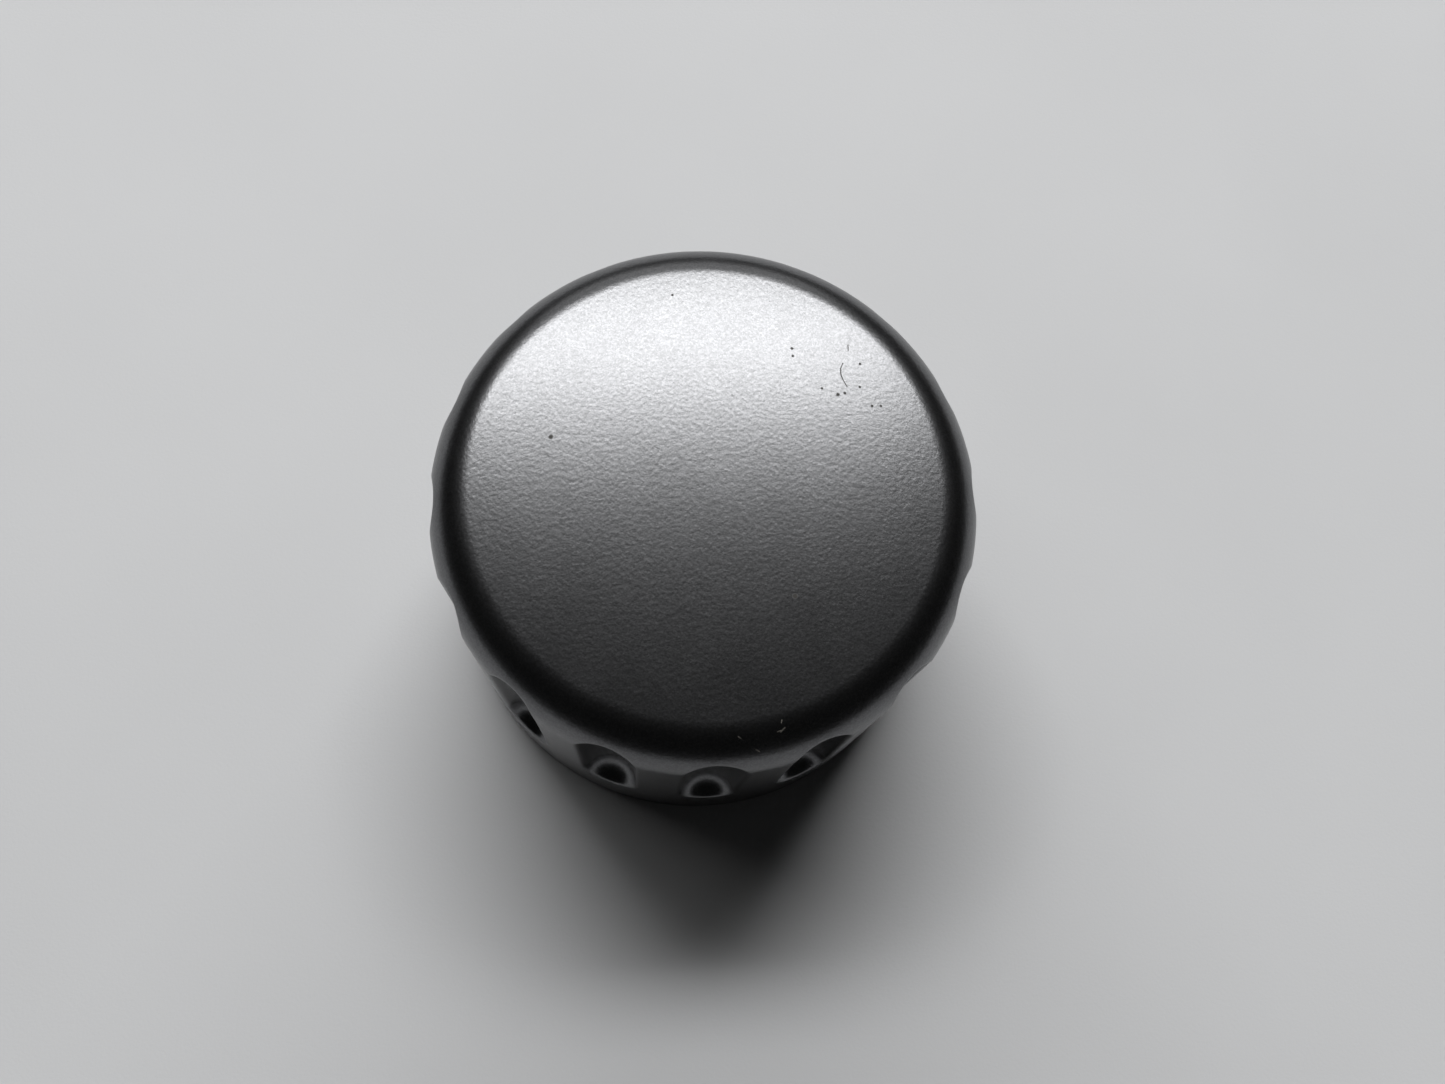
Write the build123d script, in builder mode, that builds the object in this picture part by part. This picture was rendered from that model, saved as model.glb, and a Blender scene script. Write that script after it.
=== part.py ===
"""Climate control knob: a painted fluted cap, the black carrier that snaps into it, and a shaft spring.

The knob stands on its open rim. The origin is the centre of the rim's circle, in the plane that the
rim stands on, and +Z is the shaft axis, up through the face. One flute faces -Y, the near side.
All sizes are in millimetres and angles in degrees.
"""

from build123d import *
import math
import os

os.makedirs("parts", exist_ok=True)

# Cap, outside
cap_diameter = 34.0
cap_height = 23.8
crown_rise = 0.9
edge_round = 3.1
rim_round = 0.35
wall_draft = 0.6

# Flutes around the cap's wall
flute_count = 16
flute_width = 3.7
flute_depth = 1.5
flute_top_gap = 2.1
flute_rim_gap = 6.9
flute_edge_round = 0.25
near_side_angle = -90

# Cap, inside
skirt_wall = 2.6
face_wall = 2.5
seat_width = 1.0
seat_drop = 6.8
ceiling_round = 1.2
mouth_chamfer = 0.4
groove_level = 3.4
groove_height = 2.0
groove_depth = 0.5
key_width = 1.8
key_depth = 0.9
key_length = 3.6

# Carrier
fit_gap = 0.1
web_thickness = 1.6
ring_wall = 1.5
ring_foot_level = 2.4
rib_count = 4
rib_thickness = 1.2
rib_sleeve_level = 3.2
rib_ring_level = 6.6
catch_count = 4
catch_width = 4.2
catch_height = 1.6
catch_land = 0.4
catch_bite = 0.35
finger_length = 7.0
finger_slot = 0.8
first_rib_angle = 45

# Sleeve and shaft bore
sleeve_diameter = 11.0
sleeve_foot_level = 1.0
sleeve_head_gap = 3.3
shaft_diameter = 6.0
shaft_across_flat = 4.5
guide_length = 5.4
guide_gap = 0.2
bore_gap = 0.04
lead_in = 0.6

# Spring and its pocket
spring_thickness = 0.35
spring_width = 3.6
spring_gap = 0.1
spring_bite = 0.25
spring_lip = 1.6
spring_stem = 1.2
pocket_depth = 1.25
pocket_floor = 1.2

# Radii and levels that follow from the sizes above
cap_radius = cap_diameter / 2
wall_top_level = cap_height - crown_rise
rim_radius = cap_radius + wall_top_level * math.tan(math.radians(wall_draft))
crown_radius = (cap_radius**2 + crown_rise**2) / (2 * crown_rise)
cavity_radius = cap_radius - skirt_wall
upper_cavity_radius = cavity_radius - seat_width
ceiling_level = cap_height - face_wall
seat_level = ceiling_level - seat_drop
groove_radius = cavity_radius + groove_depth

carrier_radius = cavity_radius - fit_gap
ring_inner_radius = carrier_radius - ring_wall
ring_middle_radius = carrier_radius - ring_wall / 2
web_foot_level = seat_level - web_thickness
catch_foot_level = groove_level + fit_gap
catch_radius = carrier_radius + catch_bite

sleeve_top_level = ceiling_level - sleeve_head_gap
sleeve_radius = sleeve_diameter / 2
shaft_radius = shaft_diameter / 2
guide_radius = shaft_radius + guide_gap
bore_radius = shaft_radius + bore_gap
sleeve_middle_radius = (bore_radius + sleeve_radius) / 2
shaft_flat = shaft_across_flat - shaft_radius
bore_flat = shaft_flat + bore_gap
flat_foot_level = sleeve_foot_level + guide_length
pocket_back = bore_flat + pocket_depth
pocket_foot_level = flat_foot_level + pocket_floor

# One flute's cutter: a round bar with ball ends that stands parallel to the axis
flute_bar_radius = (flute_width**2 / 4 + flute_depth**2) / (2 * flute_depth)
flute_bar_offset = cap_radius - flute_depth + flute_bar_radius
flute_ball_top = cap_height - flute_top_gap - flute_width / 2
flute_ball_foot = flute_rim_gap + flute_width / 2
land_angle = near_side_angle + 180 / flute_count

with BuildPart() as flute_bar:
    with BuildSketch(Plane.XZ):
        with BuildLine():
            Line((0, flute_ball_foot - flute_bar_radius), (0, flute_ball_top + flute_bar_radius))
            RadiusArc(
                (0, flute_ball_top + flute_bar_radius),
                (flute_bar_radius, flute_ball_top),
                flute_bar_radius,
            )
            Line((flute_bar_radius, flute_ball_top), (flute_bar_radius, flute_ball_foot))
            RadiusArc(
                (flute_bar_radius, flute_ball_foot),
                (0, flute_ball_foot - flute_bar_radius),
                flute_bar_radius,
            )
        make_face()
    revolve(axis=Axis.Z)


# Cap: a crowned cup with a rounded edge, turned from its outline on the middle of a land between flutes
turning_plane = Plane.XZ.rotated((0, 0, land_angle))

with BuildPart() as cap:
    with BuildSketch(turning_plane) as outline:
        with BuildLine():
            Polyline((0, cap_height), (0, 0), (rim_radius, 0), (cap_radius, wall_top_level))
            RadiusArc((cap_radius, wall_top_level), (0, cap_height), -crown_radius)
        make_face()
        fillet(outline.vertices().sort_by(Axis.Y)[-2], edge_round)
        fillet(outline.vertices().group_by(Axis.Y)[0].sort_by(Axis.X)[-1], rim_round)
    revolve(axis=Axis.Z)

    # Cavity: a wide lower bore with a lead-in, a seat for the carrier and a narrower upper bore
    with BuildSketch(turning_plane) as cavity:
        with BuildLine():
            Polyline(
                (0, 0),
                (cavity_radius + mouth_chamfer, 0),
                (cavity_radius, mouth_chamfer),
                (cavity_radius, seat_level),
                (upper_cavity_radius, seat_level),
                (upper_cavity_radius, ceiling_level),
                (0, ceiling_level),
                close=True,
            )
        make_face()
        fillet(cavity.vertices().group_by(Axis.Y)[-1].sort_by(Axis.X)[-1], ceiling_round)
    revolve(axis=Axis.Z, mode=Mode.SUBTRACT)

    # Groove that the carrier's catches snap into, below the flutes where the wall is thick
    with BuildSketch(Plane.XY.offset(groove_level)):
        Circle(groove_radius)
        Circle(upper_cavity_radius, mode=Mode.SUBTRACT)
    extrude(amount=groove_height, mode=Mode.SUBTRACT)

    # Keys under the seat that stop the carrier turning
    with PolarLocations(cavity_radius, rib_count, start_angle=first_rib_angle):
        with Locations((0, 0, seat_level)):
            Box(
                2 * key_depth,
                key_width,
                key_length,
                align=(Align.CENTER, Align.CENTER, Align.MAX),
            )

    # Flutes, with the edges where they break the wall and the rounding softened
    with PolarLocations(flute_bar_offset, flute_count, start_angle=near_side_angle):
        add(flute_bar.part, mode=Mode.SUBTRACT)
    flute_rims = cap.edges(Select.LAST).filter_by(GeomType.BSPLINE)
    fillet(flute_rims, flute_edge_round)

cap.part.label = "cap"
export_step(cap.part, "parts/cap.step")


# One stiffening rib: a gusset that tapers from the sleeve out to the ring
with BuildPart() as rib:
    with BuildSketch(Plane.XZ):
        with BuildLine():
            Polyline(
                (sleeve_middle_radius, web_foot_level),
                (sleeve_middle_radius, rib_sleeve_level),
                (sleeve_radius, rib_sleeve_level),
                (ring_middle_radius, rib_ring_level),
                (ring_middle_radius, web_foot_level),
                close=True,
            )
        make_face()
    extrude(amount=rib_thickness / 2, both=True)


# One catch: a barb that slides in on its slope and holds on its flat underside
catch_arc = math.degrees(catch_width / carrier_radius)

with BuildPart() as catch:
    with BuildSketch(Plane.XZ.rotated((0, 0, -catch_arc / 2))):
        with BuildLine():
            Polyline(
                (ring_middle_radius, catch_foot_level),
                (catch_radius, catch_foot_level),
                (catch_radius, catch_foot_level + catch_land),
                (carrier_radius, catch_foot_level + catch_height),
                (ring_middle_radius, catch_foot_level + catch_height),
                close=True,
            )
        make_face()
    revolve(axis=Axis.Z, revolution_arc=catch_arc)


# Carrier: web, ring and sleeve in one moulding
with BuildPart() as carrier:
    with BuildSketch(Plane.XY.offset(web_foot_level)):
        Circle(carrier_radius)
    extrude(amount=web_thickness)

    with BuildSketch(Plane.XY.offset(ring_foot_level)):
        Circle(carrier_radius)
        Circle(ring_inner_radius, mode=Mode.SUBTRACT)
    extrude(amount=web_foot_level - ring_foot_level)

    with BuildSketch(Plane.XY.offset(sleeve_foot_level)):
        Circle(sleeve_radius)
    extrude(amount=sleeve_top_level - sleeve_foot_level)

    with PolarLocations(0, rib_count, start_angle=first_rib_angle):
        add(rib.part)
    with PolarLocations(0, catch_count):
        add(catch.part)

    # Slots on both sides of each catch, so that it bends as a finger of the ring
    with PolarLocations(ring_middle_radius, catch_count):
        with Locations(
            (0, (catch_width + finger_slot) / 2, ring_foot_level),
            (0, -(catch_width + finger_slot) / 2, ring_foot_level),
        ):
            Box(
                2 * ring_wall,
                finger_slot,
                finger_length,
                align=(Align.CENTER, Align.CENTER, Align.MIN),
                mode=Mode.SUBTRACT,
            )

    # Notches that clear the cap's keys
    with PolarLocations(cavity_radius, rib_count, start_angle=first_rib_angle):
        with Locations((0, 0, seat_level)):
            Box(
                2 * (key_depth + fit_gap),
                key_width + 2 * fit_gap,
                key_length + fit_gap,
                align=(Align.CENTER, Align.CENTER, Align.MAX),
                mode=Mode.SUBTRACT,
            )

    # Round guide with a lead-in at the mouth of the sleeve
    with BuildSketch(Plane.XY.offset(sleeve_foot_level)):
        Circle(guide_radius)
    extrude(amount=guide_length, mode=Mode.SUBTRACT)
    mouth = carrier.edges().filter_by(GeomType.CIRCLE).group_by(Axis.Z)[0].sort_by(SortBy.RADIUS)[0]
    chamfer(mouth, lead_in)

    # D-shaped bore above the guide, with the spring's pocket behind the flat
    with BuildSketch(Plane.XY.offset(flat_foot_level)):
        Circle(bore_radius)
        with Locations((0, bore_flat)):
            Rectangle(
                2 * bore_radius,
                bore_radius,
                align=(Align.CENTER, Align.MIN),
                mode=Mode.SUBTRACT,
            )
    extrude(amount=sleeve_top_level - flat_foot_level, mode=Mode.SUBTRACT)
    with BuildSketch(Plane.XY.offset(pocket_foot_level)):
        Rectangle(
            spring_width + 2 * spring_gap,
            pocket_back,
            align=(Align.CENTER, Align.MIN),
        )
    extrude(amount=sleeve_top_level - pocket_foot_level, mode=Mode.SUBTRACT)

carrier.part.label = "carrier"
export_step(carrier.part, "parts/carrier.step")


# Spring: a bowed leaf in the pocket, hung from a lip that lies on the sleeve's end
leaf_back = pocket_back - spring_gap - spring_thickness / 2
leaf_crest = shaft_flat - spring_bite + spring_thickness / 2
leaf_foot_level = pocket_foot_level + spring_gap
leaf_bend_level = sleeve_top_level - spring_stem
lip_level = sleeve_top_level + spring_thickness / 2
lip_bend = spring_gap + spring_thickness / 2

with BuildPart() as shaft_spring:
    with BuildSketch(Plane.YZ):
        with BuildLine():
            Spline(
                (leaf_back, leaf_foot_level),
                (leaf_crest, (leaf_foot_level + leaf_bend_level) / 2),
                (leaf_back, leaf_bend_level),
                tangents=((0, 1), (0, 1)),
            )
            FilletPolyline(
                (leaf_back, leaf_bend_level),
                (leaf_back, lip_level),
                (leaf_back + spring_lip, lip_level),
                radius=lip_bend,
            )
        trace(line_width=spring_thickness)
    extrude(amount=spring_width / 2, both=True)

shaft_spring.part.label = "shaft_spring"
export_step(shaft_spring.part, "parts/shaft_spring.step")
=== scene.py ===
"""Looks of the climate control knob: a fluted cap in satin metallic paint over a black carrier.

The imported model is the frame. It is in metres, its origin is the centre of the circle that the rim
stands on, and +Z is the shaft axis, up through the face. Sizes of the knob are written in
millimetres, as on a drawing, and MM turns them into metres.
"""

import logging
import math
from dataclasses import dataclass
from enum import Enum

import bmesh
import bpy
import numpy as np
from mathutils import Matrix, Quaternion, Vector


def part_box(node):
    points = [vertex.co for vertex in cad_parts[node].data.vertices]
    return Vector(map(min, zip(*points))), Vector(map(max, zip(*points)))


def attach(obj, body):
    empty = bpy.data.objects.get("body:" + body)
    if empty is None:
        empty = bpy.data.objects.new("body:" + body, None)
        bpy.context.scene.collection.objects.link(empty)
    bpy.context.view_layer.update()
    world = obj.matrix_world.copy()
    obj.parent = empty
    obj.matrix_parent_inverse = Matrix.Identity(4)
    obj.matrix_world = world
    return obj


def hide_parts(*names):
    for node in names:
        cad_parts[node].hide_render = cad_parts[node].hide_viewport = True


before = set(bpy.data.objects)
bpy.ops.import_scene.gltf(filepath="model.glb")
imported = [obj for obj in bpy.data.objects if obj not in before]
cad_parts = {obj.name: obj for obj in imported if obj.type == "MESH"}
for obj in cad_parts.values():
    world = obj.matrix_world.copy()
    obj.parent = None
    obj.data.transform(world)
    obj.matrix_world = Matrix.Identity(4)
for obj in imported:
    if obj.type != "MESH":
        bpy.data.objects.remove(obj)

MM = 0.001
BODY = "root"

NOISE_SPAN = (0.3, 0.7)
NOISE_CORE = (0.35, 0.65)

Socket = bpy.types.NodeSocket
Level = float | Socket
Feed = float | tuple[float, ...] | Vector | Socket

log = logging.getLogger("knob")


class Slot(Enum):
    """The material slots' names."""

    CAP = "cap_paint"
    CARRIER = "black_plastic"
    SPRING = "spring_steel"


class NodeTree:
    """A material's node tree with short calls for the nodes that these finishes share."""

    def __init__(self, name: str) -> None:
        """Starts a material with an empty tree, a surface shader and an output.

        Args:
            name: The material's name.
        """
        self.material = bpy.data.materials.new(name)
        self.material.use_nodes = True
        self.tree = self.material.node_tree
        self.tree.nodes.clear()
        self.shader = self.tree.nodes.new("ShaderNodeBsdfPrincipled")
        output = self.tree.nodes.new("ShaderNodeOutputMaterial")
        self.link(self.shader.outputs["BSDF"], output.inputs["Surface"])
        place = self.tree.nodes.new("ShaderNodeTexCoord")
        self.place = place.outputs["Object"]

    def link(self, source: Socket, target: Socket) -> None:
        """Joins an output socket to an input socket."""
        self.tree.links.new(source, target)

    def feed(self, target: Socket, value: Feed) -> None:
        """Gives an input a value, or links it where the value is another node's output.

        Args:
            target: The input socket.
            value: A number, a vector, a colour or an output socket.
        """
        if isinstance(value, Socket):
            self.link(value, target)
        else:
            target.default_value = value

    def math(self, operation: str, *values: Level, clamp: bool = False) -> Socket:
        """Adds a Math node.

        Args:
            operation: The node's operation.
            values: Its inputs in order, numbers or output sockets.
            clamp: Whether the result stays between 0 and 1.

        Returns:
            The node's output.
        """
        node = self.tree.nodes.new("ShaderNodeMath")
        node.operation = operation
        node.use_clamp = clamp
        for target, value in zip(node.inputs, values):
            self.feed(target, value)
        return node.outputs["Value"]

    def vector(self, operation: str, *values: Feed, result: str = "Vector") -> Socket:
        """Adds a Vector Math node.

        Args:
            operation: The node's operation.
            values: Its inputs in order, vectors, numbers or output sockets.
            result: The name of the output that is wanted.

        Returns:
            The node's output.
        """
        node = self.tree.nodes.new("ShaderNodeVectorMath")
        node.operation = operation
        inputs = node.inputs if operation != "SCALE" else (node.inputs[0], node.inputs["Scale"])
        for target, value in zip(inputs, values):
            self.feed(target, value)
        return node.outputs[result]

    def noise(self, grain: float, detail: float = 2.0, roughness: float = 0.5) -> Socket:
        """Adds a noise over the piece.

        Args:
            grain: The size of its main features, in metres.
            detail: How many finer layers it has.
            roughness: How strong the finer layers are.

        Returns:
            The noise, about 0.5 on average.
        """
        node = self.tree.nodes.new("ShaderNodeTexNoise")
        node.inputs["Scale"].default_value = 1 / grain
        node.inputs["Detail"].default_value = detail
        node.inputs["Roughness"].default_value = roughness
        self.link(self.place, node.inputs["Vector"])
        return node.outputs["Fac"]

    def flakes(self, grain: float) -> Socket:
        """Adds cells that each have one random level, as flakes in a paint have.

        Args:
            grain: The size of one cell, in metres.

        Returns:
            A level from 0 to 1 for each cell.
        """
        node = self.tree.nodes.new("ShaderNodeTexVoronoi")
        node.inputs["Scale"].default_value = 1 / grain
        self.link(self.place, node.inputs["Vector"])
        split = self.tree.nodes.new("ShaderNodeSeparateColor")
        self.link(node.outputs["Color"], split.inputs["Color"])
        return split.outputs["Red"]

    def spread(self, value: Socket, results: tuple[float, float], span: tuple[float, float]) -> Socket:
        """Maps a value from one range to another.

        Args:
            value: The output socket that is mapped.
            results: The results at the start and the end of the value's range.
            span: The value's range.

        Returns:
            The mapped value, held inside the results.
        """
        node = self.tree.nodes.new("ShaderNodeMapRange")
        node.inputs["From Min"].default_value, node.inputs["From Max"].default_value = span
        node.inputs["To Min"].default_value, node.inputs["To Max"].default_value = results
        self.link(value, node.inputs["Value"])
        return node.outputs["Result"]

    def mix(self, factor: Level, first: Feed, second: Feed) -> Socket:
        """Mixes two colours.

        Args:
            factor: How much of the second is seen, a number or an output socket.
            first: A colour of three numbers or an output socket.
            second: A colour of three numbers or an output socket.

        Returns:
            The mixed colour.
        """
        node = self.tree.nodes.new("ShaderNodeMix")
        node.data_type = "RGBA"
        self.feed(node.inputs["Factor"], factor)
        for name, colour in (("A", first), ("B", second)):
            self.feed(node.inputs[name], colour if isinstance(colour, Socket) else (*colour, 1.0))
        return node.outputs["Result"]

    def bump(self, height: Socket, depth: float, before: Socket | None = None) -> Socket:
        """Adds relief.

        Args:
            height: The relief's height, from 0 to 1.
            depth: How far apart 0 and 1 are, in metres.
            before: The output of a relief that this one adds to.

        Returns:
            The relief's normal.
        """
        node = self.tree.nodes.new("ShaderNodeBump")
        node.inputs["Distance"].default_value = depth
        self.link(height, node.inputs["Height"])
        if before is not None:
            self.link(before, node.inputs["Normal"])
        return node.outputs["Normal"]


@dataclass(frozen=True)
class Speck:
    """A dark grain of dirt that is stuck in the paint, in the cap's millimetres."""

    x: float
    y: float
    z: float
    radius: float


@dataclass(frozen=True)
class Scratch:
    """A straight mark, or one stretch of a curved one, in the cap's millimetres."""

    start: tuple[float, float, float]
    end: tuple[float, float, float]
    width: float


@dataclass(frozen=True)
class MetallicPaint:
    """Satin metallic paint: dark clear paint full of fine flakes, over a finely sparked moulding.

    cloud_thin is how much of the flakes' glint is left in a dull cloud, and the gloss fields are
    changes of roughness. A fade is where a mark's edge starts and ends, in radii or half widths.
    """

    name: str
    colour: tuple[float, float, float]
    flake_colour: tuple[float, float, float]
    dirt_colour: tuple[float, float, float]
    nick_colour: tuple[float, float, float]
    roughness: float
    flake_size: float
    cloud_size: float
    grain_size: float
    peel_size: float
    peel_depth: float
    spark_size: float
    spark_depth: float
    specks: tuple[Speck, ...]
    fibre: tuple[Scratch, ...]
    nicks: tuple[Scratch, ...]
    flake_floor: float = 0.2
    cloud_thin: float = 0.85
    cloud_gloss: float = 0.006
    grain_gloss: float = 0.015
    worn_gloss: float = 0.3
    speck_fade: tuple[float, float] = (0.66, 1.2)
    line_fade: tuple[float, float] = (0.6, 1.4)

    def material(self) -> bpy.types.Material:
        """Builds the paint.

        Returns:
            The material.
        """
        nodes = NodeTree(self.name)
        flake = nodes.spread(nodes.flakes(self.flake_size), (0.0, 1.0), (self.flake_floor, 1.0))
        cloud = nodes.noise(self.cloud_size)
        glint = nodes.math("MULTIPLY", flake, nodes.spread(cloud, (self.cloud_thin, 1.0), NOISE_SPAN))
        dirt = self._marks(nodes, self.specks, self.fibre)
        nick = self._marks(nodes, (), self.nicks)
        colour = nodes.mix(glint, self.colour, self.flake_colour)
        colour = nodes.mix(dirt, colour, self.dirt_colour)
        colour = nodes.mix(nick, colour, self.nick_colour)
        nodes.link(colour, nodes.shader.inputs["Base Color"])

        slow = (self.roughness - self.cloud_gloss, self.roughness + self.cloud_gloss)
        fine = (-self.grain_gloss, self.grain_gloss)
        grain = nodes.spread(nodes.noise(self.grain_size, 1.0), fine, NOISE_SPAN)
        satin = nodes.math("ADD", nodes.spread(cloud, slow, NOISE_SPAN), grain)
        worn = nodes.math("MULTIPLY", nodes.math("MAXIMUM", dirt, nick), self.worn_gloss)
        rough = nodes.math("ADD", satin, worn, clamp=True)
        nodes.link(rough, nodes.shader.inputs["Roughness"])
        metal = nodes.math("SUBTRACT", 1.0, dirt, clamp=True)
        nodes.link(metal, nodes.shader.inputs["Metallic"])

        peel = nodes.bump(nodes.noise(self.peel_size, 1.0), self.peel_depth)
        spark = nodes.bump(nodes.noise(self.spark_size), self.spark_depth, peel)
        nodes.link(spark, nodes.shader.inputs["Normal"])
        nodes.shader.inputs["IOR"].default_value = 1.5
        return nodes.material

    def _marks(self, nodes: NodeTree, specks: tuple[Speck, ...], lines: tuple[Scratch, ...]) -> Socket:
        """Draws the marks that are in the paint.

        Args:
            nodes: The tree that they are drawn in.
            specks: The round ones.
            lines: The long ones.

        Returns:
            1 on a mark and 0 beside it.
        """
        shapes = [self._speck(nodes, speck) for speck in specks]
        shapes += [self._line(nodes, line) for line in lines]
        found = shapes[0]
        for shape in shapes[1:]:
            found = nodes.math("MAXIMUM", found, shape)
        return found

    def _speck(self, nodes: NodeTree, speck: Speck) -> Socket:
        """Draws one speck with a soft edge.

        Args:
            nodes: The tree that it is drawn in.
            speck: The speck.

        Returns:
            1 on the speck and 0 beside it.
        """
        centre = Vector((speck.x, speck.y, speck.z)) * MM
        away = nodes.vector("DISTANCE", nodes.place, centre, result="Value")
        inner, outer = self.speck_fade
        return nodes.spread(away, (1.0, 0.0), (speck.radius * MM * inner, speck.radius * MM * outer))

    def _line(self, nodes: NodeTree, line: Scratch) -> Socket:
        """Draws one straight mark with round ends.

        Args:
            nodes: The tree that it is drawn in.
            line: The mark.

        Returns:
            1 on the mark and 0 beside it.
        """
        start = Vector(line.start) * MM
        run = Vector(line.end) * MM - start
        offset = nodes.vector("SUBTRACT", nodes.place, start)
        along = nodes.vector("DOT_PRODUCT", offset, run / run.length_squared, result="Value")
        along = nodes.math("ADD", along, 0.0, clamp=True)
        nearest = nodes.vector("SCALE", run, along)
        away = nodes.vector("LENGTH", nodes.vector("SUBTRACT", offset, nearest), result="Value")
        half = line.width * MM / 2
        inner, outer = self.line_fade
        return nodes.spread(away, (1.0, 0.0), (half * inner, half * outer))


@dataclass(frozen=True)
class MouldedPlastic:
    """Bare moulded plastic with a fine eroded grain and slow changes of gloss."""

    name: str
    colour: tuple[float, float, float]
    roughness: float
    grain_size: float
    grain_depth: float
    flow_grains: float = 25.0
    pale_gain: float = 1.5
    gloss_change: float = 0.08

    def material(self) -> bpy.types.Material:
        """Builds the plastic.

        Returns:
            The material.
        """
        nodes = NodeTree(self.name)
        flow = nodes.noise(self.grain_size * self.flow_grains, 3.0)
        pale = tuple(level * self.pale_gain for level in self.colour)
        colour = nodes.mix(nodes.spread(flow, (0.0, 1.0), NOISE_CORE), self.colour, pale)
        nodes.link(colour, nodes.shader.inputs["Base Color"])
        gloss = (self.roughness - self.gloss_change, self.roughness + self.gloss_change)
        nodes.link(nodes.spread(flow, gloss, NOISE_SPAN), nodes.shader.inputs["Roughness"])
        grain = nodes.bump(nodes.noise(self.grain_size, 3.0, 0.6), self.grain_depth)
        nodes.link(grain, nodes.shader.inputs["Normal"])
        return nodes.material


@dataclass(frozen=True)
class SpringSteel:
    """Cold rolled steel strip with fine lines along the way that it was rolled."""

    name: str
    colour: tuple[float, float, float]
    roughness: float
    line_size: float
    line_depth: float
    line_stretch: float = 30.0
    dull_gain: float = 0.75
    gloss_change: float = 0.07

    def material(self) -> bpy.types.Material:
        """Builds the steel.

        Returns:
            The material.
        """
        nodes = NodeTree(self.name)
        mapping = nodes.tree.nodes.new("ShaderNodeMapping")
        mapping.inputs["Scale"].default_value = (1.0, 1.0, 1 / self.line_stretch)
        nodes.link(nodes.place, mapping.inputs["Vector"])
        nodes.place = mapping.outputs["Vector"]
        lines = nodes.noise(self.line_size, 3.0, 0.6)
        dull = tuple(level * self.dull_gain for level in self.colour)
        colour = nodes.mix(nodes.spread(lines, (0.0, 1.0), NOISE_CORE), dull, self.colour)
        nodes.link(colour, nodes.shader.inputs["Base Color"])
        gloss = (self.roughness - self.gloss_change, self.roughness + self.gloss_change)
        nodes.link(nodes.spread(lines, gloss, NOISE_SPAN), nodes.shader.inputs["Roughness"])
        nodes.link(nodes.bump(lines, self.line_depth), nodes.shader.inputs["Normal"])
        nodes.shader.inputs["Metallic"].default_value = 1.0
        return nodes.material


@dataclass(frozen=True)
class Paper:
    """Matt white paper with a faint tooth, and painted shade of slow, barely seen waves that darkens its
    colour a little in soft patches.
    """

    name: str
    colour: tuple[float, float, float]
    tooth_size: float
    tooth_depth: float
    wave_size: float
    painted_shade_gain: float = 0.965
    roughness: float = 0.9
    sheen_level: float = 0.2

    def material(self) -> bpy.types.Material:
        """Builds the paper.

        Returns:
            The material.
        """
        nodes = NodeTree(self.name)
        # Painted shade: the paper's slow waves are drawn as patches of slightly darker colour, not as
        # relief.
        painted_wave_shade = tuple(level * self.painted_shade_gain for level in self.colour)
        wave = nodes.spread(nodes.noise(self.wave_size, 3.0), (0.0, 1.0), NOISE_CORE)
        nodes.link(nodes.mix(wave, painted_wave_shade, self.colour), nodes.shader.inputs["Base Color"])
        nodes.shader.inputs["Roughness"].default_value = self.roughness
        nodes.shader.inputs["Specular IOR Level"].default_value = self.sheen_level
        tooth = nodes.bump(nodes.noise(self.tooth_size, 3.0, 0.6), self.tooth_depth)
        nodes.link(tooth, nodes.shader.inputs["Normal"])
        return nodes.material


def new_piece(name: str, shape: bmesh.types.BMesh, finish: bpy.types.Material) -> bpy.types.Object:
    """Turns a bmesh into an object of the scene that stands at the origin.

    Args:
        name: The object's name.
        shape: The bmesh, which is freed.
        finish: Its material.

    Returns:
        The object.
    """
    mesh = bpy.data.meshes.new(name)
    shape.to_mesh(mesh)
    shape.free()
    mesh.materials.append(finish)
    piece = bpy.data.objects.new(name, mesh)
    bpy.context.scene.collection.objects.link(piece)
    return piece


def read_vectors(mesh: bpy.types.Mesh, attribute: str) -> np.ndarray:
    """Reads one vector for each of a mesh's vertices.

    Args:
        mesh: The mesh.
        attribute: The vertices' attribute, such as co or normal.

    Returns:
        An array of three columns.
    """
    values = np.empty(len(mesh.vertices) * 3)
    mesh.vertices.foreach_get(attribute, values)
    return values.reshape(-1, 3)


def sharpen(mesh: bpy.types.Mesh, angle: float) -> None:
    """Shades a mesh smooth, apart from the edges that turn by more than an angle.

    Args:
        mesh: The mesh.
        angle: The angle, in degrees.
    """
    shape = bmesh.new()
    shape.from_mesh(mesh)
    for face in shape.faces:
        face.smooth = True
    for edge in shape.edges:
        edge.smooth = edge.is_manifold and edge.calc_face_angle() < math.radians(angle)
    shape.to_mesh(mesh)
    shape.free()


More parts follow.
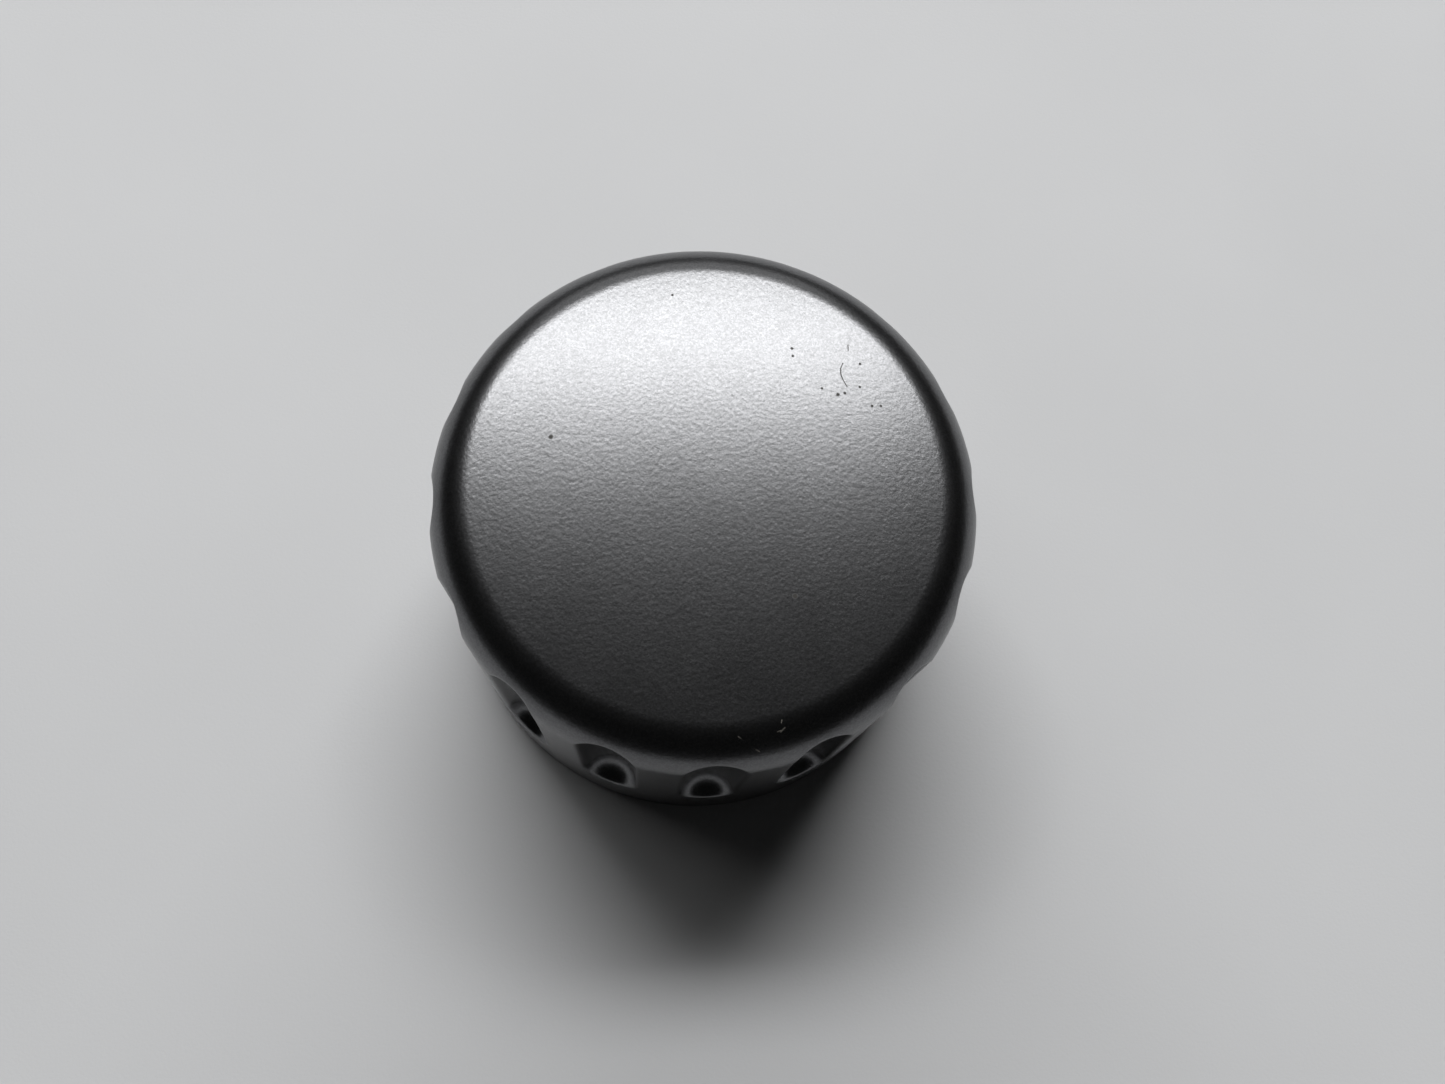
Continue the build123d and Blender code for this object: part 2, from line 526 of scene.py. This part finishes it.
@dataclass
class FlutedCap:
    """The moulded cap: a crowned cup with a rounded edge and round-ended flutes in its wall.

    All sizes are in millimetres. The overall sizes come from the frame.
    """

    finish: MetallicPaint
    bare_finish: MouldedPlastic
    rim_radius: float
    height: float
    crown_rise: float = 0.9
    edge_round: float = 3.1
    rim_round: float = 0.35
    wall_draft: float = 0.6

    flute_count: int = 16
    flute_width: float = 3.7
    flute_depth: float = 1.5
    flute_top_gap: float = 2.1
    flute_rim_gap: float = 6.9
    lip_round: float = 0.25
    near_side_angle: float = -90.0

    cavity_radius: float = 14.4
    upper_cavity_radius: float = 13.4
    groove_radius: float = 14.9
    mouth_chamfer: float = 0.4
    groove_level: float = 3.4
    groove_height: float = 2.0
    seat_level: float = 14.5
    face_wall: float = 2.5
    ceiling_round: float = 1.2

    columns_per_flute: int = 40
    plain_columns: float = 0.5
    lip_columns: float = 4.5
    flute_columns: float = 0.9
    lip_band: float = 0.022
    flute_band: float = 0.01
    column_samples: int = 2001

    fine_row: float = 0.1
    foot_row: float = 0.08
    plain_row: float = 0.6
    rim_row: float = 1.5
    flute_end_margin: float = 0.3
    flute_foot_margin: float = 0.5
    lowest_row: float = 0.455
    corner_steps: int = 6
    crown_rings: tuple[float, ...] = (
        0.0, 0.03, 0.1, 0.2, 0.32, 0.44, 0.56, 0.66, 0.76, 0.84, 0.9, 0.95, 0.98
    )
    ceiling_rings: tuple[float, ...] = (0.6, 0.25, 0.0)

    round_passes: int = 20
    cut_passes: int = 40
    cut_reach: float = 1.5
    cut_touch: float = 1e-9
    merge_gap: float = 0.001
    bare_reach: float = 1.0
    level_slack: float = 0.01
    sharp_angle: float = 40.0

    def __post_init__(self) -> None:
        """Works out the angles, radii and levels that follow from the sizes."""
        self.pitch = math.tau / self.flute_count
        self.near_side = math.radians(self.near_side_angle)
        self.draft = math.radians(self.wall_draft)
        self.slope = math.tan(self.draft)
        self.wall_top = self.height - self.crown_rise
        self.wall_radius = self.rim_radius - self.wall_top * self.slope
        self.crown_radius = (self.wall_radius**2 + self.crown_rise**2) / (2 * self.crown_rise)
        self.crown_centre = self.height - self.crown_radius
        self.bar_radius = (self.flute_width**2 / 4 + self.flute_depth**2) / (2 * self.flute_depth)
        self.bar_offset = self.wall_radius - self.flute_depth + self.bar_radius
        self.ball_top = self.height - self.flute_top_gap - self.flute_width / 2
        self.ball_foot = self.flute_rim_gap + self.flute_width / 2
        self.ceiling = self.height - self.face_wall
        self.round_radius, self.round_level = self._round_centre()
        self.round_start = math.asin(self.round_radius / (self.crown_radius - self.edge_round))

    def _round_centre(self) -> tuple[float, float]:
        """Finds the centre of the edge rounding, which touches the crown and the wall.

        Returns:
            Its radius from the axis and its level.
        """
        level = self.wall_top - self.edge_round
        reach = self.crown_radius - self.edge_round
        for _ in range(self.round_passes):
            radius = self.wall_at(level) - self.edge_round / math.cos(self.draft)
            level = self.crown_centre + math.sqrt(reach**2 - radius**2)
        return radius, level

    def wall_at(self, level: float) -> float:
        """Gives the wall's radius at a level."""
        return self.wall_radius + (self.wall_top - level) * self.slope

    def outline(self) -> list[tuple[float, float]]:
        """Lists the section's points from the middle of the face, down the wall and up the cavity.

        Returns:
            Radius and level of each point, in millimetres.
        """
        points = self._crown_points() + self._round_points() + self._wall_points() + self._rim_points()
        groove_top = self.groove_level + self.groove_height
        points += [
            (self.cavity_radius + self.mouth_chamfer, 0.0),
            (self.cavity_radius, self.mouth_chamfer),
            (self.cavity_radius, self.groove_level),
            (self.groove_radius, self.groove_level),
            (self.groove_radius, groove_top),
            (self.cavity_radius, groove_top),
            (self.cavity_radius, self.seat_level),
            (self.upper_cavity_radius, self.seat_level),
        ]
        corner = self.upper_cavity_radius - self.ceiling_round
        points += [
            (
                corner + self.ceiling_round * math.cos(turn),
                self.ceiling - self.ceiling_round + self.ceiling_round * math.sin(turn),
            )
            for turn in self._quarter_turns()
        ]
        points += [(corner * part, self.ceiling) for part in self.ceiling_rings]
        return points

    def _quarter_turns(self) -> list[float]:
        """Lists the angles of a small rounding's points."""
        return [math.pi / 2 * step / self.corner_steps for step in range(self.corner_steps + 1)]

    def _crown_points(self) -> list[tuple[float, float]]:
        """Lists the face's points, from its middle to where the rounding starts.

        Returns:
            Radius and level of each point.
        """
        turns = [self.round_start * part for part in self.crown_rings]
        return [
            (self.crown_radius * math.sin(turn), self.crown_centre + self.crown_radius * math.cos(turn))
            for turn in turns
        ]

    def _round_points(self) -> list[tuple[float, float]]:
        """Lists the edge rounding's points, close together where the flutes cut it.

        Returns:
            Radius and level of each point.
        """
        sweep = math.pi / 2 - self.draft - self.round_start
        steps = round(self.edge_round * sweep / self.fine_row)
        turns = [self.round_start + sweep * step / steps for step in range(steps + 1)]
        return [
            (
                self.round_radius + self.edge_round * math.sin(turn),
                self.round_level + self.edge_round * math.cos(turn),
            )
            for turn in turns
        ]

    def _wall_points(self) -> list[tuple[float, float]]:
        """Lists the wall's points, close together round the flutes' ends.

        Returns:
            Radius and level of each point.
        """
        wall_start = self.round_level + self.edge_round * math.sin(self.draft)
        flute_start = self.ball_top - self.flute_end_margin
        flute_end = self.ball_foot + self.flute_end_margin
        plain_start = self.flute_rim_gap - self.flute_foot_margin
        stretches = (
            (wall_start, flute_start, self.fine_row),
            (flute_start, flute_end, self.plain_row),
            (flute_end, plain_start, self.foot_row),
            (plain_start, self.lowest_row, self.rim_row),
        )
        levels: list[float] = []
        for start, end, row in stretches:
            count = max(1, round((start - end) / row))
            levels += [start + (end - start) * step / count for step in range(1, count + 1)]
        return [(self.wall_at(level), level) for level in levels]

    def _rim_points(self) -> list[tuple[float, float]]:
        """Lists the points of the small rounding at the rim.

        Returns:
            Radius and level of each point.
        """
        radius = self.rim_radius - self.rim_round
        return [
            (radius + self.rim_round * math.cos(turn), self.rim_round - self.rim_round * math.sin(turn))
            for turn in self._quarter_turns()
        ]

    def build(self) -> bpy.types.Object:
        """Spins one flute's share of the section and repeats it, cuts the flutes and paints the outside.

        Returns:
            The cap, which stands for the node of that name.
        """
        shape = bmesh.new()
        points = [shape.verts.new((radius, 0.0, level)) for radius, level in self.outline()]
        edges = [shape.edges.new(pair) for pair in zip(points, points[1:])]
        bmesh.ops.spin(
            shape,
            geom=points + edges,
            cent=(0.0, 0.0, 0.0),
            axis=(0.0, 0.0, 1.0),
            angle=self.pitch,
            steps=self.columns_per_flute,
        )
        bmesh.ops.spin(
            shape,
            geom=shape.verts[:] + shape.edges[:] + shape.faces[:],
            cent=(0.0, 0.0, 0.0),
            axis=(0.0, 0.0, 1.0),
            angle=math.tau - self.pitch,
            steps=self.flute_count - 1,
            use_duplicate=True,
        )
        bmesh.ops.remove_doubles(shape, verts=shape.verts, dist=self.merge_gap)
        bmesh.ops.recalc_face_normals(shape, faces=shape.faces)
        for face in shape.faces:
            middle = face.calc_center_median()
            inside = math.hypot(middle.x, middle.y) < self.groove_radius + self.bare_reach
            face.material_index = int(inside and middle.z < self.ceiling + self.level_slack)
        piece = new_piece("cap_shell", shape, self.finish.material())
        piece.data.materials.append(self.bare_finish.material())
        self._space_columns(piece.data)
        self._cut_flutes(piece.data)
        piece.data.transform(Matrix.Scale(MM, 4))
        sharpen(piece.data, self.sharp_angle)
        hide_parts("cap")
        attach(piece, BODY)
        return piece

    def _space_columns(self, mesh: bpy.types.Mesh) -> None:
        """Moves the columns round the axis, so that they lie close together at the flutes' lips.

        Args:
            mesh: The spun mesh, in millimetres.
        """
        cosine = self.wall_radius**2 + self.bar_offset**2 - self.bar_radius**2
        lip = math.acos(cosine / (2 * self.wall_radius * self.bar_offset))
        spot = np.linspace(-self.pitch / 2, self.pitch / 2, self.column_samples)
        past_lip = np.abs(spot) - lip
        near = np.exp(-((past_lip / self.lip_band) ** 2))
        flute = 1 / (1 + np.exp(past_lip / self.flute_band))
        columns = np.cumsum(self.plain_columns + self.lip_columns * near + self.flute_columns * flute)
        columns = (columns - columns[0]) / (columns[-1] - columns[0])
        places = read_vectors(mesh, "co")
        radius = np.hypot(places[:, 0], places[:, 1])
        turns = (np.arctan2(places[:, 1], places[:, 0]) - self.near_side) / self.pitch + 0.5
        whole = np.floor(turns)
        angle = whole * self.pitch + np.interp(turns - whole, columns, spot) + self.near_side
        places[:, 0] = radius * np.cos(angle)
        places[:, 1] = radius * np.sin(angle)
        mesh.vertices.foreach_set("co", places.ravel())
        mesh.update()

    def _cut_flutes(self, mesh: bpy.types.Mesh) -> None:
        """Moves the wall in where the round bars with ball ends cut it, with a rounded lip.

        Args:
            mesh: The spaced mesh, in millimetres.
        """
        places = read_vectors(mesh, "co")
        out = read_vectors(mesh, "normal")
        shallow = np.zeros(len(places))
        deep = np.full(len(places), self.flute_depth * self.cut_reach)
        touched = self._left_by_cut(places, out, shallow) > self.cut_touch
        for _ in range(self.cut_passes):
            middle = (shallow + deep) / 2
            solid = self._left_by_cut(places, out, middle) > 0
            shallow = np.where(solid, middle, shallow)
            deep = np.where(solid, deep, middle)
        moved = np.where(touched, (shallow + deep) / 2, 0.0)
        places -= out * moved[:, None]
        mesh.vertices.foreach_set("co", places.ravel())
        mesh.update()

    def _left_by_cut(self, places: np.ndarray, out: np.ndarray, depth: np.ndarray) -> np.ndarray:
        """Tells how far points under the skin are outside of the cut cap.

        Args:
            places: Points on the uncut skin.
            out: The skin's outward directions there.
            depth: How far under the skin each point is.

        Returns:
            The signed distance from the cut cap, which is above 0 outside it.
        """
        point = places - out * depth[:, None]
        angle = np.arctan2(point[:, 1], point[:, 0])
        nearest = self.near_side + np.round((angle - self.near_side) / self.pitch) * self.pitch
        level = np.clip(point[:, 2], self.ball_foot, self.ball_top)
        away = np.sqrt(
            (point[:, 0] - self.bar_offset * np.cos(nearest)) ** 2
            + (point[:, 1] - self.bar_offset * np.sin(nearest)) ** 2
            + (point[:, 2] - level) ** 2
        )
        skin = -depth
        cut = self.bar_radius - away
        corner = np.hypot(np.maximum(skin + self.lip_round, 0), np.maximum(cut + self.lip_round, 0))
        return np.minimum(np.maximum(skin, cut), -self.lip_round) + corner


@dataclass
class Moulding:
    """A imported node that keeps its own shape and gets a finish."""

    node: str
    slot: Slot
    finish: MouldedPlastic | SpringSteel

    def dress(self) -> bpy.types.Object:
        """Gives the node its material.

        Returns:
            The node's object.
        """
        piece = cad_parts[self.node]
        piece.data.materials.clear()
        piece.data.materials.append(self.finish.material())
        return piece


@dataclass(frozen=True)
class Lamp:
    """A soft rectangular light that faces the knob.

    Angles are in degrees, azimuth from +Y towards +X, sizes are in metres, and in_reflections tells
    whether glossy surfaces show the lamp.
    """

    name: str
    azimuth: float
    elevation: float
    distance: float
    width: float
    height: float
    radiance: float
    in_reflections: bool = True

    def hang(self) -> bpy.types.Object:
        """Puts the light in the scene.

        Returns:
            The light.
        """
        light = bpy.data.lights.new(self.name, "AREA")
        light.shape = "RECTANGLE"
        light.size = self.width
        light.size_y = self.height
        light.energy = self.radiance * math.pi * self.width * self.height
        lamp = bpy.data.objects.new(self.name, light)
        around = math.radians(self.azimuth)
        up = math.radians(self.elevation)
        back = Vector((math.sin(around) * math.cos(up), math.cos(around) * math.cos(up), math.sin(up)))
        lamp.location = back * self.distance
        lamp.rotation_mode = "QUATERNION"
        lamp.rotation_quaternion = (-back).to_track_quat("-Z", "Y")
        lamp.visible_camera = False
        lamp.visible_glossy = self.in_reflections
        bpy.context.scene.collection.objects.link(lamp)
        return lamp


@dataclass
class Studio:
    """The pale floor, the soft windows, the dim room and the camera."""

    paper: Paper
    windows: tuple[Lamp, ...]
    room_level: float = 0.012
    backdrop: tuple[float, float, float] = (0.62, 0.625, 0.63)
    floor_width: float = 0.8

    camera_place: tuple[float, float, float] = (-4.14, -23.72, 92.79)
    camera_aim: tuple[float, float, float] = (2.36, 3.15, 0.0)
    camera_roll: float = 11.77
    camera_lens: float = 30.52
    sensor_width: float = 36.0
    camera_clip: tuple[float, float] = (0.001, 20.0)

    def lay_floor(self) -> bpy.types.Object:
        """Lays the sheet that the knob stands on.

        Returns:
            The sheet.
        """
        shape = bmesh.new()
        bmesh.ops.create_grid(shape, x_segments=1, y_segments=1, size=self.floor_width / 2)
        floor = new_piece("floor", shape, self.paper.material())
        return floor

    def light(self) -> None:
        """Hangs the windows, and sets the room's level and the pale backdrop that the camera sees."""
        for window in self.windows:
            window.hang()
        world = bpy.data.worlds.new("room")
        bpy.context.scene.world = world
        world.use_nodes = True
        nodes = world.node_tree.nodes
        nodes.clear()
        background = nodes.new("ShaderNodeBackground")
        output = nodes.new("ShaderNodeOutputWorld")
        path = nodes.new("ShaderNodeLightPath")
        mix = nodes.new("ShaderNodeMix")
        mix.data_type = "RGBA"
        links = world.node_tree.links
        links.new(path.outputs["Is Camera Ray"], mix.inputs["Factor"])
        mix.inputs["A"].default_value = (*[self.room_level] * 3, 1.0)
        mix.inputs["B"].default_value = (*self.backdrop, 1.0)
        links.new(mix.outputs["Result"], background.inputs["Color"])
        links.new(background.outputs["Background"], output.inputs["Surface"])
        bpy.context.scene.view_settings.view_transform = "Standard"

    def place_camera(self) -> bpy.types.Object:
        """Places the camera where the photograph was taken from.

        Returns:
            The camera.
        """
        data = bpy.data.cameras.new("camera")
        data.sensor_width = self.sensor_width
        data.lens = self.camera_lens
        data.clip_start, data.clip_end = self.camera_clip
        camera = bpy.data.objects.new("camera", data)
        camera.location = Vector(self.camera_place) * MM
        aim = Vector(self.camera_aim) * MM - camera.location
        roll = Quaternion((0.0, 0.0, 1.0), math.radians(self.camera_roll))
        camera.rotation_mode = "QUATERNION"
        camera.rotation_quaternion = aim.to_track_quat("-Z", "Y") @ roll
        bpy.context.scene.collection.objects.link(camera)
        bpy.context.scene.camera = camera
        return camera


CAP_PAINT = MetallicPaint(
    name="cap_paint",
    colour=(0.126, 0.127, 0.13),
    flake_colour=(0.165, 0.166, 0.171),
    dirt_colour=(0.03, 0.028, 0.025),
    nick_colour=(0.4, 0.38, 0.34),
    roughness=0.3,
    flake_size=0.09 * MM,
    cloud_size=2.7 * MM,
    grain_size=0.144 * MM,
    peel_size=0.9 * MM,
    peel_depth=0.0015 * MM,
    spark_size=0.26 * MM,
    spark_depth=0.01 * MM,
    specks=(
        Speck(-9.34, 3.15, 23.5, 0.14),
        Speck(4.82, -7.06, 23.57, 0.16),
        Speck(-1.77, 12.6, 23.3, 0.08),
        Speck(5.54, 8.77, 23.47, 0.09),
        Speck(5.56, 8.25, 23.49, 0.08),
        Speck(7.24, 6.04, 23.52, 0.08),
        Speck(8.21, 5.63, 23.49, 0.11),
        Speck(8.65, 5.73, 23.47, 0.09),
        Speck(9.76, 7.73, 23.32, 0.08),
        Speck(9.63, 6.15, 23.39, 0.08),
        Speck(10.29, 4.88, 23.4, 0.09),
        Speck(10.85, 4.88, 23.36, 0.08),
    ),
    fibre=(
        Scratch((9.1, 9.05, 23.29), (9.08, 8.63, 23.31), 0.05),
        Scratch((8.67, 7.77, 23.38), (8.51, 7.4, 23.4), 0.05),
        Scratch((8.51, 7.4, 23.4), (8.49, 7.02, 23.42), 0.06),
        Scratch((8.49, 7.02, 23.42), (8.59, 6.65, 23.43), 0.06),
        Scratch((8.59, 6.65, 23.43), (8.82, 6.17, 23.44), 0.05),
    ),
    nicks=(
        Scratch((3.71, -14.19, 23.09), (3.69, -14.36, 23.05), 0.06),
        Scratch((3.45, -14.83, 22.89), (3.64, -14.77, 22.9), 0.07),
        Scratch((3.64, -14.84, 22.87), (3.88, -14.62, 22.94), 0.08),
        Scratch((1.19, -15.04, 22.95), (2.4, -15.86, 22.35), 0.07),
    ),
)
CAP_PLASTIC = MouldedPlastic("cap_plastic", (0.028, 0.028, 0.029), 0.42, 0.15 * MM, 0.006 * MM)
CARRIER_PLASTIC = MouldedPlastic("carrier_plastic", (0.022, 0.022, 0.023), 0.5, 0.12 * MM, 0.008 * MM)
STEEL = SpringSteel("spring_steel", (0.56, 0.55, 0.53), 0.3, 0.06 * MM, 0.002 * MM)
WHITE_PAPER = Paper("paper", (0.6, 0.605, 0.612), 0.25 * MM, 0.01 * MM, 40 * MM)

# The face mirrors the sky. The wide, low horizon gives the shadow its direction; a face that showed
# it in full would have a bright line on its far edge, so only its faint glow is in reflections.
WINDOWS = (
    Lamp("sky", azimuth=0.0, elevation=57.2, distance=1.0, width=0.88, height=0.2, radiance=13.5),
    Lamp(
        "horizon",
        azimuth=0.0,
        elevation=21.0,
        distance=1.0,
        width=1.4,
        height=0.18,
        radiance=12.8,
        in_reflections=False,
    ),
    Lamp("horizon_glow", azimuth=0.0, elevation=26.0, distance=1.0, width=0.88, height=0.24, radiance=1.0),
    Lamp(
        "side",
        azimuth=-50.0,
        elevation=45.0,
        distance=1.0,
        width=0.4,
        height=0.4,
        radiance=1.9,
        in_reflections=False,
    ),
)


def main() -> None:
    """Builds the knob and its studio."""
    logging.basicConfig(level=logging.INFO, format="%(name)s: %(message)s")
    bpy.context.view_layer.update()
    lowest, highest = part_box("cap")
    cap = FlutedCap(CAP_PAINT, CAP_PLASTIC, rim_radius=highest.x / MM, height=highest.z / MM)
    shell = cap.build()
    log.info("%s: %d vertices", shell.name, len(shell.data.vertices))
    mouldings = (
        Moulding("carrier", Slot.CARRIER, CARRIER_PLASTIC),
        Moulding("shaft_spring", Slot.SPRING, STEEL),
    )
    for moulding in mouldings:
        piece = moulding.dress()
        log.info("%s: dressed for %s", piece.name, moulding.slot.value)
    studio = Studio(WHITE_PAPER, WINDOWS)
    studio.lay_floor()
    studio.light()
    studio.place_camera()
    log.info("studio: lit")


if __name__ == "__main__":
    main()
